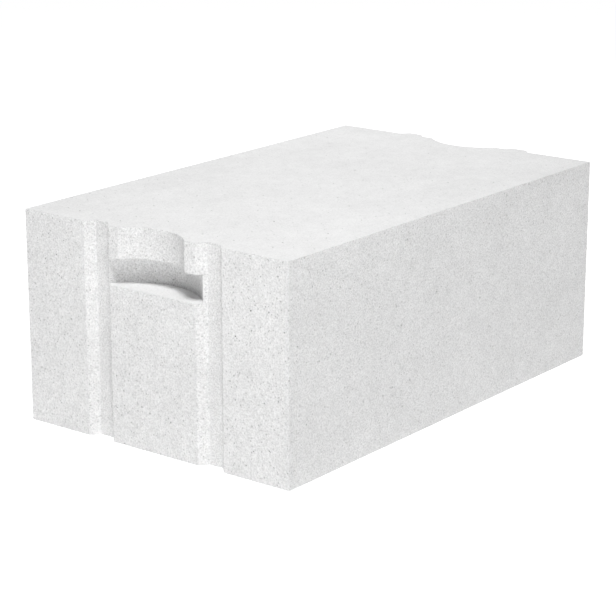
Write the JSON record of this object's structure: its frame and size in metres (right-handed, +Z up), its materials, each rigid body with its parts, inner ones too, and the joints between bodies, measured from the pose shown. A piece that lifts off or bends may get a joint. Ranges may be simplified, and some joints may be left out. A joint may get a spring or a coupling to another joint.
{
  "type": "aerated concrete block",
  "caption": "Large white wall block of porous aerated concrete, with upright grooves in one head, tongues on the other and a milled grip pocket in each head.",
  "frame": {"origin": "centre of the bed face, midway between the two head faces, tongues not counted", "axes": "+X along the block towards the tongues, +Y across the wall, +Z up"},
  "size_m": [0.608, 0.375, 0.249],
  "materials": {
    "aerated_concrete": "matte, open fine pores, wire-cut"
  },
  "bodies": {
    "root": {"block": "aerated_concrete"}
  },
  "joints": []
}
